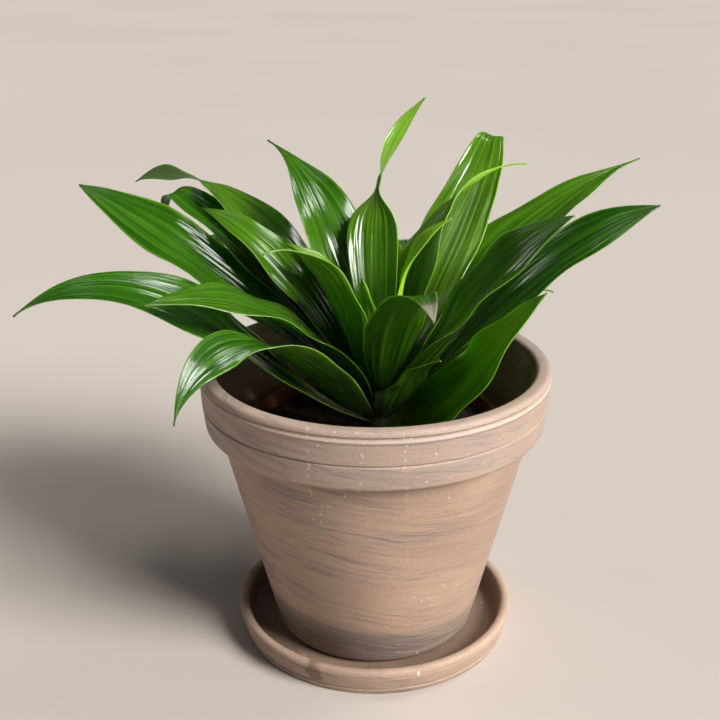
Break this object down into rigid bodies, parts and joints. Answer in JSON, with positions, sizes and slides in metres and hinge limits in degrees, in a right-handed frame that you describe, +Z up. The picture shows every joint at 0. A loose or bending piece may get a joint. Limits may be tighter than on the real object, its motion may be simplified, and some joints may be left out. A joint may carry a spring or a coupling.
{
  "type": "potted dracaena",
  "caption": "Young dracaena, a rosette of glossy green strap leaves in its thin nursery pot, standing in a tapered clay pot on a round clay saucer.",
  "frame": {"origin": "centre of the saucer's underside, on the table", "axes": "+Z up, -Y towards the side that the picture shows, +X to its right"},
  "size_m": [0.2873, 0.2231, 0.2481],
  "materials": {
    "saucer_clay": "unglazed grey-brown fired clay",
    "pot_clay": "unglazed grey-brown fired clay with darker marbling and lime specks",
    "nursery_plastic": "thin satin rust-brown plastic",
    "soil": "crumbly dark potting soil",
    "stem": "matt green-brown young stem with leaf rings",
    "leaf": "glossy green leaf with lengthwise pleats"
  },
  "bodies": {
    "root": {"saucer": "saucer_clay", "clay_pot": "pot_clay", "nursery_pot": "nursery_plastic", "potting_soil": "soil", "stem": "stem", "leaf_01": "leaf", "leaf_02": "leaf", "leaf_03": "leaf", "leaf_04": "leaf", "leaf_05": "leaf", "leaf_06": "leaf", "leaf_07": "leaf", "leaf_08": "leaf", "leaf_09": "leaf", "leaf_10": "leaf", "leaf_11": "leaf", "leaf_12": "leaf", "leaf_13": "leaf", "leaf_14": "leaf", "leaf_15": "leaf", "leaf_16": "leaf", "leaf_17": "leaf", "leaf_18": "leaf", "leaf_19": "leaf", "leaf_20": "leaf", "leaf_21": "leaf", "leaf_22": "leaf", "leaf_23": "leaf", "leaf_24": "leaf", "leaf_25": "leaf", "leaf_26": "leaf", "leaf_27": "leaf"}
  },
  "joints": []
}
